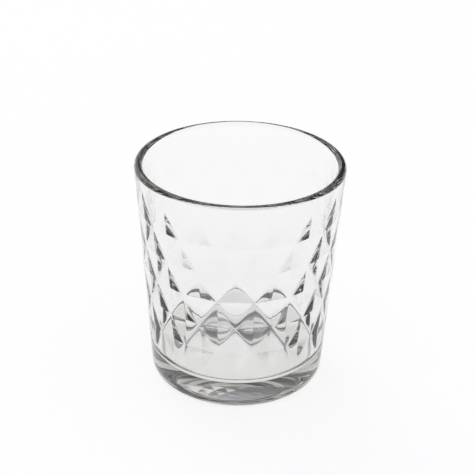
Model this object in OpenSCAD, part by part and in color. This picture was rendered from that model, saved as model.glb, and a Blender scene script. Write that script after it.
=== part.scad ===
// Short tumbler for whiskey and other spirits: one piece of clear glass.
// The outside is a smooth taper on a heavy foot with a shallow dome under it.
// The inside wall carries a net of low four-sided pyramids, seen as diamonds
// through the glass. The net stops below the lip and just above the drinking floor.
// Millimetres, +Z up. The origin is the centre of the foot, on the table.

/* [Outside] */
// Height from the table to the top of the lip
height = 92; // [90:1:102]
// Diameter that the straight side would have at the top of the lip
lip_d = 82; // [80:1:90]
// Diameter that the straight side would have at the table
foot_d = 70; // [68:0.5:74]
// Radius of the heel, where the side turns under the foot
heel_r = 4; // [2:0.5:5]

/* [Walls] */
// Thickness of the wall at the lip
lip_wall = 3.2; // [2.6:0.1:4]
// Thickness of the wall at the drinking floor
foot_wall = 4; // [3:0.1:5]
// Height of the drinking floor above the table
floor_z = 10.2; // [9:0.2:10.6]
// Radius of the corner between the drinking floor and the wall
floor_fillet = 5; // [2:0.5:6]

/* [Foot] */
// Inner diameter of the flat ring that the tumbler stands on
ring_d = 46; // [40:1:56]
// Height of the dome under the foot
dome_h = 5; // [1:0.5:6]

/* [Diamonds] */
// Diamonds in one row around the glass
columns = 16; // [12:1:20]
// Rows of diamonds, each set half a diamond aside from the row below
rows = 5; // [1:1:5]
// Height from the centres of one row to the centres of the next
row_pitch = 11.85; // [10:0.05:11.85]
// Height of the lowest tips of the diamonds above the table
net_z = 14; // [14:0.1:15]
// How far the centre of a diamond stands out of the inside wall
relief = 1.1; // [0.4:0.1:1.6]

/* [Hidden] */
$fn = 96;
glass = [0.86, 0.88, 0.86, 0.35];

// How far the net's valleys are sunk behind the inside wall, so that a strip of
// plain wall is left between neighbouring diamonds.
valley = 0.25;
net_top = net_z + (rows + 1) * row_pitch;
// How deep the ring that the diamonds are cut from is sunk in the wall.
into_glass = 1;
// How far that ring stops short of both edges of the net.
end_gap = 0.3;
lip_r = lip_wall / 2;
lip_z = height - lip_r;

// Radius of the outside wall at a height.
function outside_r(z) = (foot_d + (lip_d - foot_d) * z / height) / 2;

// Radius of the inside wall at a height, without its diamonds.
function inside_r(z) =
    let (low = outside_r(floor_z) - foot_wall, high = outside_r(lip_z) - lip_wall)
    low + (high - low) * (z - floor_z) / (lip_z - floor_z);

// Points of an arc in a profile of radius and height.
function arc(centre, r, from, to, steps = 16) =
    [for (i = [0:steps]) let (a = from + (to - from) * i / steps) centre + r * [cos(a), sin(a)]];

// Heel: a quarter turn from the standing ring up to the side.
function heel() = arc([outside_r(heel_r) - heel_r, heel_r], heel_r, -90, 0);

// Lip: a half turn from the outside to the inside.
function lip() = arc([outside_r(lip_z) - lip_r, lip_z], lip_r, 0, 180);

// Corner between the drinking floor and the inside wall, from the wall inwards.
function floor_corner() =
    let (
        z = floor_z + floor_fillet,
        lean = atan((inside_r(lip_z) - inside_r(floor_z)) / (lip_z - floor_z))
    )
    arc([inside_r(z) - floor_fillet / cos(lean), z], floor_fillet, -lean, -90);

// Dome under the foot, from its crown out to the standing ring.
function dome(steps = 12) =
    [for (i = [0:steps]) let (t = i / steps) [ring_d / 2 * t, dome_h * (1 - t * t)]];

// A point of the net: ring k counts up from its lower edge, step i counts around it.
// Every second point inside the net is the centre of a diamond.
function net_point(k, i) =
    let (
        z = net_z + k * row_pitch,
        is_centre = (k + i) % 2 == 0 && k > 0 && k <= rows,
        r = inside_r(z) + (is_centre ? -relief : valley),
        a = -90 + (i + 1) * 180 / columns
    )
    [r * cos(a), r * sin(a), z];

// The glass without its diamonds.
module smooth_glass() {
    rotate_extrude()
        polygon(concat(dome(), heel(), lip(), floor_corner(), [[0, floor_z]]));
}

// The space inside the net: a solid whose side is folded into pyramids.
module net_space() {
    around = 2 * columns;
    last = rows + 1;
    points = [for (k = [0:last]) for (i = [0:around - 1]) net_point(k, i)];
    function at(k, i) = k * around + i % around;
    // The fold of each cell runs between its two valley points.
    side = [
        for (k = [0:last - 1]) for (i = [0:around - 1])
            each (k + i) % 2 == 0
                ? [[at(k, i), at(k + 1, i), at(k, i + 1)],
                   [at(k + 1, i), at(k + 1, i + 1), at(k, i + 1)]]
                : [[at(k, i), at(k + 1, i), at(k + 1, i + 1)],
                   [at(k, i), at(k + 1, i + 1), at(k, i + 1)]]
    ];
    below = [for (i = [0:around - 1]) at(0, i)];
    above = [for (i = [0:around - 1]) at(last, around - 1 - i)];
    polyhedron(points, concat(side, [below, above]));
}

// A ring along the inside wall that reaches from the cavity into the glass.
module wall_band(z_low, z_high) {
    into_cavity = 2 * relief;
    rotate_extrude()
        polygon([
            [inside_r(z_low) - into_cavity, z_low],
            [inside_r(z_low) + into_glass, z_low],
            [inside_r(z_high) + into_glass, z_high],
            [inside_r(z_high) - into_cavity, z_high]
        ]);
}

// The diamonds: what the net's space leaves of a ring along the wall.
module diamonds() {
    difference() {
        wall_band(net_z + end_gap, net_top - end_gap);
        net_space();
    }
}

module tumbler() {
    color(glass) {
        smooth_glass();
        diamonds();
    }
}

tumbler();
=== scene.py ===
"""The whiskey tumbler: one piece of clear glass on a pale studio floor.

The CAD node gives the frame and the sizes. This script builds the same tumbler again as a
fine mesh with rounded valleys, softened ridges and exact normals, because glass shows every
facet twice: once as a surface and once through the other wall.
"""

import math

import bmesh
import bpy
import numpy as np
from mathutils import Matrix, Vector


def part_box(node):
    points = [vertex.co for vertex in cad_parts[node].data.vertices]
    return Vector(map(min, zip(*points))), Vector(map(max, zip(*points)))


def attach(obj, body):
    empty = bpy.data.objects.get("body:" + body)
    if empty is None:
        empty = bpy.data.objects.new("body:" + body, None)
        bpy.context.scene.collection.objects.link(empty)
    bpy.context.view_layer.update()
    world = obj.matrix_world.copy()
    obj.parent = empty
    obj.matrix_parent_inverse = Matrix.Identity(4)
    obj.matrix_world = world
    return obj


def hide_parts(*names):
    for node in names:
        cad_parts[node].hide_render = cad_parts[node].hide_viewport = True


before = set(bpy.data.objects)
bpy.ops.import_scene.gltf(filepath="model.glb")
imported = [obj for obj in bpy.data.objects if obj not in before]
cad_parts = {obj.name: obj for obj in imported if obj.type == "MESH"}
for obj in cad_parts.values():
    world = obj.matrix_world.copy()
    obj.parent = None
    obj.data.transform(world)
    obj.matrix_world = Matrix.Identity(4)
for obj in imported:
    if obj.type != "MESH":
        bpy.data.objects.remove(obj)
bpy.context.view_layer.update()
cad_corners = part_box("tumbler")

MM = 0.001

# The tumbler, in metres. The height comes from the frame, the rest repeats the CAD part.
HEIGHT = cad_corners[1].z
LIP_D = 82 * MM
FOOT_D = 70 * MM
HEEL_R = 4 * MM
LIP_WALL = 3.2 * MM
FOOT_WALL = 4 * MM
FLOOR_Z = 10.2 * MM
FLOOR_FILLET = 5 * MM
RING_D = 46 * MM
DOME_H = 5 * MM
LIP_R = LIP_WALL / 2
LIP_Z = HEIGHT - LIP_R

# The net of diamonds on the inside wall.
COLUMNS = 16
ROWS = 5
ROW_PITCH = 11.85 * MM
NET_Z = 14 * MM
RELIEF = 1.1 * MM
VALLEY = 0.25 * MM
VALLEY_SOFTNESS = 0.12 * MM
RIDGE_SOFTNESS = 0.02 * MM
STEP_ANGLE = math.pi / COLUMNS
NET_TOP = NET_Z + (ROWS + 1) * ROW_PITCH

# Where mesh lines run inside a diamond: from its centre to its border, and along a border.
FROM_CENTRE = [0, 0.04, 0.12, 0.3, 0.5, 0.68, 0.8, 0.88, 0.94, 0.98, 1]
ALONG_BORDER = [0, 0.03, 0.09, 0.2, 0.35, 0.5, 0.65, 0.8, 0.91, 0.97, 1]

# Where rings of the outline lie, as a part of each stretch.
ABOVE_NET_PARTS = (0.1, 0.4, 0.75, 0.97)
OUTSIDE_PARTS = (0.01, 0.2, 0.4, 0.6, 0.8, 0.99)
FLOOR_PARTS = (0.97, 0.8, 0.6, 0.4, 0.2, 0.08)
LIP_STEPS = 28
HEEL_STEPS = 20
CORNER_STEPS = 20
DOME_STEPS = 28

# The glass.
GLASS_IOR = 1.52
GLASS_TINT = (0.30, 0.32, 0.24, 1)
GLASS_DENSITY = 17
RIPPLE_SCALE = 70
RIPPLE_HEIGHT = 0.05 * MM
HAZE_SCALE = 45
HAZE_FROM, HAZE_TO = 0.5, 0.75
HAZE_ROUGHNESS = 0.03

# The board that the tumbler stands on, set a little below the foot so that they don't share
# a plane.
FLOOR_SIZE = 40.0
FLOOR_GAP = 0.1 * MM
FLOOR_GLOW = 0.79
FLOOR_TONES = (0.46, 0.54)
GRAIN_SCALE = 900

# The studio's light by direction: where a light starts, where it is full, and its colour.
ROOM_COLOUR = (0.17, 0.17, 0.19)
HORIZON_EDGE, HORIZON_COLOUR = (0.16, 0.02), (0.85, 0.85, 0.83)
CEILING_EDGE, CEILING_COLOUR = (0.5, 0.8), (0.3, 0.3, 0.32)
WINDOW_EDGE, WINDOW_COLOUR = (0.9, 0.97), (0.95, 0.87, 0.85)
WINDOW_AIM = Vector((-0.45, 0.8, 0.4)).normalized()

# The camera: how far it is from a point on the axis, from which side, and how it is turned.
CAMERA_DISTANCE = 482.35 * MM
CAMERA_HEIGHT = 44.3 * MM
CAMERA_ELEVATION = 29.52
CAMERA_AZIMUTH = 1.1
CAMERA_TURN = -0.07
CAMERA_TILT = 1.47
CAMERA_ROLL = 1.1
CAMERA_SENSOR = 36
CAMERA_LENS = 90.5


def outside_r(z):
    """Radius of the straight outside wall."""
    return (FOOT_D + (LIP_D - FOOT_D) * z / HEIGHT) / 2


def inside_r(z):
    """Radius of the straight inside wall, without its diamonds and its lower corner."""
    low = outside_r(FLOOR_Z) - FOOT_WALL
    high = outside_r(LIP_Z) - LIP_WALL
    return low + (high - low) * (z - FLOOR_Z) / (LIP_Z - FLOOR_Z)


def inside_lean():
    """Angle of the inside wall from upright."""
    return math.atan((inside_r(LIP_Z) - inside_r(FLOOR_Z)) / (LIP_Z - FLOOR_Z))


def corner_centre():
    """Radius and height of the centre of the corner between wall and drinking floor."""
    z = FLOOR_Z + FLOOR_FILLET
    return inside_r(z) - FLOOR_FILLET / math.cos(inside_lean()), z


def plain_inside_r(z):
    """Radius of the inside wall with its round lower corner, without its diamonds."""
    centre_r, centre_z = corner_centre()
    in_corner = z < centre_z - FLOOR_FILLET * math.sin(inside_lean())
    rounded = centre_r + np.sqrt(np.maximum(FLOOR_FILLET**2 - (centre_z - z) ** 2, 0))
    return np.where(in_corner, rounded, inside_r(z))


# ---------------------------------------------------------------- the net of diamonds


def net_corner(column, row, offset):
    """A point of the net, moved by offset from the plain inside wall."""
    angle = -math.pi / 2 + column * STEP_ANGLE
    z = NET_Z + row * ROW_PITCH
    r = inside_r(z) + offset
    return np.stack([r * np.cos(angle), r * np.sin(angle), z], -1)


def facet_radius(angle, z, column, row, side, lift):
    """Radius of one facet of the diamond at column, row. side and lift pick its quarter."""
    centre = net_corner(column, row, -RELIEF)
    beside = net_corner(column + side, row, VALLEY)
    tip = net_corner(column, row + lift, VALLEY)
    normal = np.cross(tip - centre, beside - centre)
    reach = (normal * centre).sum(-1) - normal[..., 2] * z
    return reach / (normal[..., 0] * np.cos(angle) + normal[..., 1] * np.sin(angle))


def soft_max(values, softness):
    """The largest of several values, with the change from one to the next rounded."""
    top = np.max(values, axis=0)
    return top + softness * np.log(sum(np.exp((v - top) / softness) for v in values))


def net_radius(angle, z):
    """Radius of the inside wall with its diamonds."""
    column_here = np.round((angle + math.pi / 2) / STEP_ANGLE)
    row_here = np.round((z - NET_Z) / ROW_PITCH)
    inward = [-plain_inside_r(z)]
    for column_step in (-1, 0, 1):
        for row_step in (-1, 0, 1):
            column = column_here + column_step
            row = row_here + row_step
            facets = [
                facet_radius(angle, z, column, row, side, lift)
                for side in (-1, 1)
                for lift in (-1, 1)
            ]
            is_centre = (np.mod(column + row, 2) > 0.5) & (row > 0.5) & (row < ROWS + 0.5)
            pyramid = soft_max(facets, RIDGE_SOFTNESS)
            inward.append(np.where(is_centre, -pyramid, -1.0))
    return -soft_max(inward, VALLEY_SOFTNESS)


def net_normals(angle, z):
    """Unit normals of the net, out of the glass into the cavity."""
    turn, rise = 1e-5, 1e-7
    r = net_radius(angle, z)
    by_angle = (net_radius(angle + turn, z) - net_radius(angle - turn, z)) / (2 * turn)
    by_z = (net_radius(angle, z + rise) - net_radius(angle, z - rise)) / (2 * rise)
    x = -r * np.cos(angle) - by_angle * np.sin(angle)
    y = -r * np.sin(angle) + by_angle * np.cos(angle)
    normals = np.stack([x, y, r * by_z], -1)
    return normals / np.linalg.norm(normals, axis=-1, keepdims=True)


def net_patch():
    """Points (column, row) and faces of the net, diamond by diamond."""
    points, faces = [], []
    across, along = len(FROM_CENTRE), len(ALONG_BORDER)
    for row in range(ROWS + 2):
        lifts = [lift for lift in (-1, 1) if 0 <= row + lift <= ROWS + 1]
        for column in range((row + 1) % 2, 2 * COLUMNS, 2):
            for side in (-1, 1):
                for lift in lifts:
                    start = len(points)
                    for d in FROM_CENTRE:
                        for t in ALONG_BORDER:
                            points.append((column + side * d * (1 - t), row + lift * d * t))
                    for i in range(across - 1):
                        for j in range(along - 1):
                            a = start + i * along + j
                            faces.append((a, a + 1, a + along + 1, a + along))
    points = np.array(points)
    points[:, 0] = np.mod(np.round(points[:, 0], 7), 2 * COLUMNS)
    points = np.round(points, 7)
    unique, index = np.unique(points, axis=0, return_inverse=True)
    index = index.reshape(-1)
    merged = []
    for face in faces:
        corners = list(dict.fromkeys(int(index[corner]) for corner in face))
        if len(corners) > 2:
            merged.append(corners)
    return unique, merged


# ---------------------------------------------------------------- the turned outline


def arc(centre_r, centre_z, radius, start, stop, steps, outwards=1):
    """Points (r, z, normal r, normal z) along an arc, with angles in degrees."""
    points = []
    for i in range(steps + 1):
        a = math.radians(start + (stop - start) * i / steps)
        points.append(
            (
                centre_r + radius * math.cos(a),
                centre_z + radius * math.sin(a),
                outwards * math.cos(a),
                outwards * math.sin(a),
            )
        )
    return points


def outline_above_net():
    """From above the net, over the lip, down the outside, to the middle of the dome."""
    lean_in = inside_lean()
    lean_out = math.atan((LIP_D - FOOT_D) / 2 / HEIGHT)
    inner = (-math.cos(lean_in), math.sin(lean_in))
    outer = (math.cos(lean_out), -math.sin(lean_out))
    points = []
    for part in ABOVE_NET_PARTS:
        z = NET_TOP + (LIP_Z - NET_TOP) * part
        points.append((inside_r(z), z, *inner))
    lip_centre = outside_r(LIP_Z) - LIP_R
    lip_start, lip_stop = 180 - math.degrees(lean_in), -math.degrees(lean_out)
    points += arc(lip_centre, LIP_Z, LIP_R, lip_start, lip_stop, LIP_STEPS)
    heel_centre = outside_r(HEEL_R) - HEEL_R
    for part in OUTSIDE_PARTS:
        z = LIP_Z + (HEEL_R - LIP_Z) * part
        points.append((outside_r(z), z, *outer))
    points += arc(heel_centre, HEEL_R, HEEL_R, -math.degrees(lean_out), -90, HEEL_STEPS)
    ring_r = RING_D / 2
    points.append((ring_r * 0.6 + heel_centre * 0.4, 0, 0, -1))
    for i in range(DOME_STEPS):
        t = 1 - i / DOME_STEPS
        slope = -2 * DOME_H * t / ring_r
        if i == 0:  # the edge to the flat ring shares one normal between both
            slope /= 2
        length = math.hypot(slope, 1)
        points.append((ring_r * t, DOME_H * (1 - t * t), slope / length, -1 / length))
    return points, (0, DOME_H, 0, -1)


def outline_below_net():
    """From below the net, round the corner and in over the drinking floor."""
    centre_r, centre_z = corner_centre()
    rise = min((NET_Z - centre_z) / FLOOR_FILLET, -math.sin(inside_lean()))
    start = math.degrees(math.asin(rise))
    points = arc(centre_r, centre_z, FLOOR_FILLET, start - 1, -90, CORNER_STEPS, outwards=-1)
    edge = points[-1][0]
    for part in FLOOR_PARTS:
        points.append((edge * part, FLOOR_Z, 0, 1))
    return points, (0, FLOOR_Z, 0, 1)


def add_turned(outline, rim, angles, vertices, normals, faces):
    """Rings of the outline, joined to the ring of vertex numbers in rim, closed at a pole."""
    points, pole = outline
    count = len(rim)
    last = list(rim)
    for r, z, normal_r, normal_z in points:
        start = len(vertices)
        for a in angles:
            vertices.append((r * math.cos(a), r * math.sin(a), z))
            normals.append((normal_r * math.cos(a), normal_r * math.sin(a), normal_z))
        ring = list(range(start, start + count))
        for i in range(count):
            j = (i + 1) % count
            faces.append((last[i], last[j], ring[j], ring[i]))
        last = ring
    vertices.append((0, 0, pole[1]))
    normals.append((0, 0, pole[3]))
    for i in range(count):
        faces.append((last[i], last[(i + 1) % count], len(vertices) - 1))


def tumbler_mesh():
    """The whole tumbler as one closed mesh with its exact normals."""
    net_points, net_faces = net_patch()
    net_angles = -math.pi / 2 + net_points[:, 0] * STEP_ANGLE
    net_z = NET_Z + net_points[:, 1] * ROW_PITCH
    r = net_radius(net_angles, net_z)
    places = np.stack([r * np.cos(net_angles), r * np.sin(net_angles), net_z], -1)
    vertices = [tuple(p) for p in places]
    normals = [tuple(n) for n in net_normals(net_angles, net_z)]
    faces = [tuple(f) for f in net_faces]
    edges = {}
    for row in (0, ROWS + 1):
        on_row = np.where(np.abs(net_points[:, 1] - row) < 1e-6)[0]
        edges[row] = on_row[np.argsort(net_points[on_row, 0])]
    angles = net_angles[edges[0]]
    add_turned(outline_above_net(), edges[ROWS + 1], angles, vertices, normals, faces)
    add_turned(outline_below_net(), edges[0], angles, vertices, normals, faces)

    mesh = bpy.data.meshes.new("tumbler_glass")
    mesh.from_pydata(vertices, [], faces)
    shaping = bmesh.new()
    shaping.from_mesh(mesh)
    bmesh.ops.recalc_face_normals(shaping, faces=shaping.faces)
    shaping.to_mesh(mesh)
    shaping.free()
    mesh.polygons.foreach_set("use_smooth", [True] * len(mesh.polygons))
    mesh.normals_split_custom_set_from_vertices(normals)
    return mesh


# ---------------------------------------------------------------- materials


def glass_material():
    """Clear soda-lime glass: a faint olive depth, ripples of the mould, a fire-polished skin."""
    material = bpy.data.materials.new("clear_glass")
    material.use_nodes = True
    nodes, links = material.node_tree.nodes, material.node_tree.links
    shader = nodes["Principled BSDF"]
    shader.inputs["Base Color"].default_value = (1, 1, 1, 1)
    shader.inputs["Transmission Weight"].default_value = 1
    shader.inputs["IOR"].default_value = GLASS_IOR
    place = nodes.new("ShaderNodeTexCoord")

    ripples = nodes.new("ShaderNodeTexNoise")
    ripples.inputs["Scale"].default_value = RIPPLE_SCALE
    ripples.inputs["Detail"].default_value = 1.5
    ripples.inputs["Roughness"].default_value = 0.35
    links.new(place.outputs["Object"], ripples.inputs["Vector"])
    relief = nodes.new("ShaderNodeBump")
    relief.inputs["Strength"].default_value = 1
    relief.inputs["Distance"].default_value = RIPPLE_HEIGHT
    links.new(ripples.outputs["Fac"], relief.inputs["Height"])
    links.new(relief.outputs["Normal"], shader.inputs["Normal"])

    haze = nodes.new("ShaderNodeTexNoise")
    haze.inputs["Scale"].default_value = HAZE_SCALE
    haze.inputs["Detail"].default_value = 6
    links.new(place.outputs["Object"], haze.inputs["Vector"])
    polish = nodes.new("ShaderNodeMapRange")
    polish.inputs["From Min"].default_value = HAZE_FROM
    polish.inputs["From Max"].default_value = HAZE_TO
    polish.inputs["To Min"].default_value = 0.0
    polish.inputs["To Max"].default_value = HAZE_ROUGHNESS
    links.new(haze.outputs["Fac"], polish.inputs["Value"])
    links.new(polish.outputs["Result"], shader.inputs["Roughness"])

    depth = nodes.new("ShaderNodeVolumeAbsorption")
    depth.inputs["Color"].default_value = GLASS_TINT
    depth.inputs["Density"].default_value = GLASS_DENSITY
    links.new(depth.outputs["Volume"], nodes["Material Output"].inputs["Volume"])
    return material


def floor_material():
    """White board on a light table, with a barely visible grain."""
    material = bpy.data.materials.new("pale_floor")
    material.use_nodes = True
    nodes, links = material.node_tree.nodes, material.node_tree.links
    shader = nodes["Principled BSDF"]
    shader.inputs["Roughness"].default_value = 0.9
    shader.inputs["Emission Color"].default_value = (1, 1, 1, 1)
    shader.inputs["Emission Strength"].default_value = FLOOR_GLOW
    place = nodes.new("ShaderNodeTexCoord")
    grain = nodes.new("ShaderNodeTexNoise")
    grain.inputs["Scale"].default_value = GRAIN_SCALE
    grain.inputs["Detail"].default_value = 3
    links.new(place.outputs["Object"], grain.inputs["Vector"])
    tone = nodes.new("ShaderNodeMapRange")
    tone.inputs["To Min"].default_value = FLOOR_TONES[0]
    tone.inputs["To Max"].default_value = FLOOR_TONES[1]
    links.new(grain.outputs["Fac"], tone.inputs["Value"])
    links.new(tone.outputs["Result"], shader.inputs["Base Color"])
    return material


# ---------------------------------------------------------------- pieces and scene

tumbler = bpy.data.objects.new("tumbler_glass", tumbler_mesh())
bpy.context.scene.collection.objects.link(tumbler)
tumbler.data.materials.append(glass_material())
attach(tumbler, "root")
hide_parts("tumbler")

bpy.ops.mesh.primitive_plane_add(size=FLOOR_SIZE, location=(0, 0, -FLOOR_GAP))
floor = bpy.context.object
floor.name = "floor"
floor.data.materials.append(floor_material())


def studio_world():
    """A grey room with a bright horizon, a soft ceiling and a warm window at the back left."""
    world = bpy.data.worlds.new("studio")
    bpy.context.scene.world = world
    world.use_nodes = True
    nodes, links = world.node_tree.nodes, world.node_tree.links
    place = nodes.new("ShaderNodeTexCoord")
    axes = nodes.new("ShaderNodeSeparateXYZ")
    links.new(place.outputs["Generated"], axes.inputs["Vector"])
    window = nodes.new("ShaderNodeVectorMath")
    window.operation = "DOT_PRODUCT"
    links.new(place.outputs["Generated"], window.inputs[0])
    window.inputs[1].default_value = WINDOW_AIM

    def glow(source, edge, colour, below):
        """Adds colour to below where source has passed both ends of edge."""
        fade = nodes.new("ShaderNodeMapRange")
        fade.interpolation_type = "SMOOTHSTEP"
        fade.inputs["From Min"].default_value = edge[0]
        fade.inputs["From Max"].default_value = edge[1]
        links.new(source, fade.inputs["Value"])
        add = nodes.new("ShaderNodeVectorMath")
        add.operation = "MULTIPLY_ADD"
        links.new(fade.outputs["Result"], add.inputs[0])
        add.inputs[1].default_value = colour
        if below is None:
            add.inputs[2].default_value = ROOM_COLOUR
        else:
            links.new(below, add.inputs[2])
        return add.outputs["Vector"]

    light = glow(axes.outputs["Z"], HORIZON_EDGE, HORIZON_COLOUR, None)
    light = glow(axes.outputs["Z"], CEILING_EDGE, CEILING_COLOUR, light)
    light = glow(window.outputs["Value"], WINDOW_EDGE, WINDOW_COLOUR, light)
    links.new(light, nodes["Background"].inputs["Color"])


def photo_camera():
    """A camera a little above the tumbler, turned, tilted and rolled as the view needs."""
    elevation, azimuth = math.radians(CAMERA_ELEVATION), math.radians(CAMERA_AZIMUTH)
    turn, tilt = math.radians(CAMERA_TURN), math.radians(CAMERA_TILT)
    roll = math.radians(CAMERA_ROLL)
    orbit = Vector((0, 0, CAMERA_HEIGHT))
    level = Vector((-math.sin(azimuth), math.cos(azimuth), 0))
    up = Vector((0, 0, 1))
    forward = level * math.cos(elevation) - up * math.sin(elevation)
    right = forward.cross(up).normalized()
    upward = right.cross(forward)
    view = (forward + right * math.tan(turn) + upward * math.tan(tilt)).normalized()
    side = view.cross(up).normalized()
    top = side.cross(view)
    rolled_side = side * math.cos(roll) + top * math.sin(roll)
    rolled_top = top * math.cos(roll) - side * math.sin(roll)
    camera = bpy.data.objects.new("camera", bpy.data.cameras.new("camera"))
    bpy.context.scene.collection.objects.link(camera)
    camera.matrix_world = Matrix.LocRotScale(
        orbit - forward * CAMERA_DISTANCE,
        Matrix((rolled_side, rolled_top, -view)).transposed(),
        None,
    )
    camera.data.sensor_width = CAMERA_SENSOR
    camera.data.lens = CAMERA_LENS
    camera.data.clip_start = 0.01
    bpy.context.scene.camera = camera


studio_world()
photo_camera()
scene = bpy.context.scene
scene.view_settings.view_transform = "Standard"
scene.cycles.max_bounces = 32
scene.cycles.transmission_bounces = 32
scene.cycles.glossy_bounces = 12
